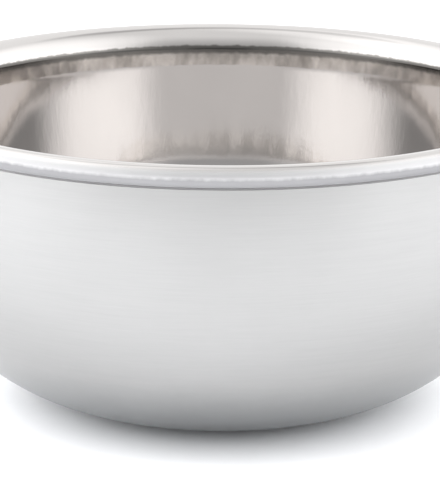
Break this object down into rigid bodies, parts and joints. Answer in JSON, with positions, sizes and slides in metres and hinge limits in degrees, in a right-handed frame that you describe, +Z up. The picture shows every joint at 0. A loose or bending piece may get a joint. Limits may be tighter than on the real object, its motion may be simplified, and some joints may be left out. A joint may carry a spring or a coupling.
{
  "type": "shaving bowl",
  "caption": "Round double-walled steel bowl with a rolled lip, for whipping shaving lather with a brush.",
  "frame": {"origin": "centre of the foot ring, on the surface the bowl stands on", "axes": "+Z up along the bowl's axis of revolution, out of the mouth; +X and +Y are any two radial directions"},
  "size_m": [0.115, 0.115, 0.053],
  "materials": {
    "polished_steel": "polished",
    "satin_steel": "satin",
    "weld_steel": "satin",
    "plug_steel": "satin",
    "adhesive": "matte",
    "cover_steel": "satin"
  },
  "bodies": {
    "root": {"inner_bowl": "polished_steel", "outer_shell": "satin_steel", "rim_weld": "weld_steel", "vent_plug": "plug_steel", "cover_bond": "adhesive", "base_cover": "cover_steel"}
  },
  "joints": []
}
